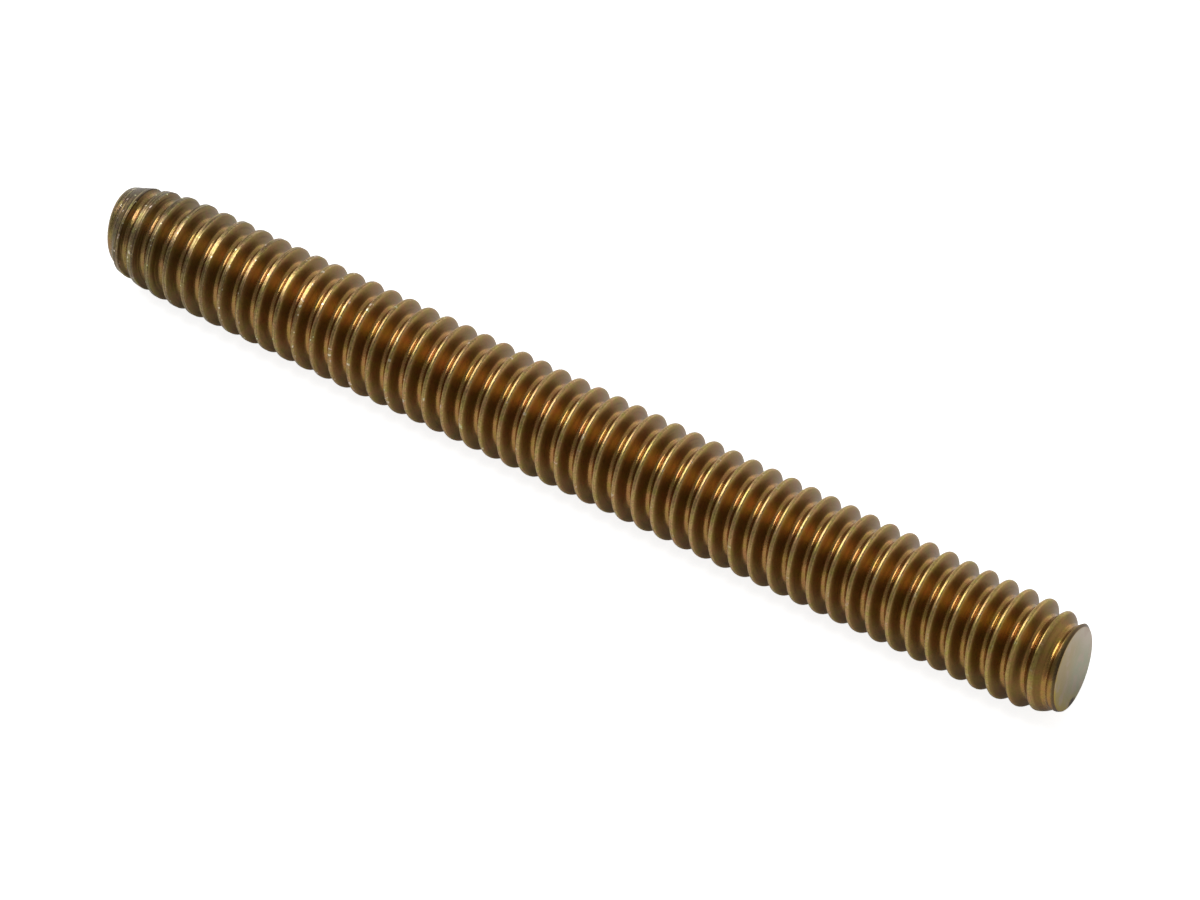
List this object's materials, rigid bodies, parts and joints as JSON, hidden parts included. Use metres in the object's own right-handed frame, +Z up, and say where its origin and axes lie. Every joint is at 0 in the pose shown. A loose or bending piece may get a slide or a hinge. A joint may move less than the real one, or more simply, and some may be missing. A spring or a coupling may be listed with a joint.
{
  "type": "threaded rod",
  "caption": "Short threaded rod in yellow zinc-plated steel, with a right-hand thread along its whole length and tapered cut ends.",
  "frame": {"origin": "on the surface that the rod lies on, below the middle of its length", "axes": "+X along the rod towards the end with the shorter taper, +Z up"},
  "size_m": [0.0637, 0.006, 0.0061],
  "materials": {
    "yellow_zinc": "yellow chromate over zinc plate, satin"
  },
  "bodies": {
    "root": {"threaded_rod": "yellow_zinc"}
  },
  "joints": []
}
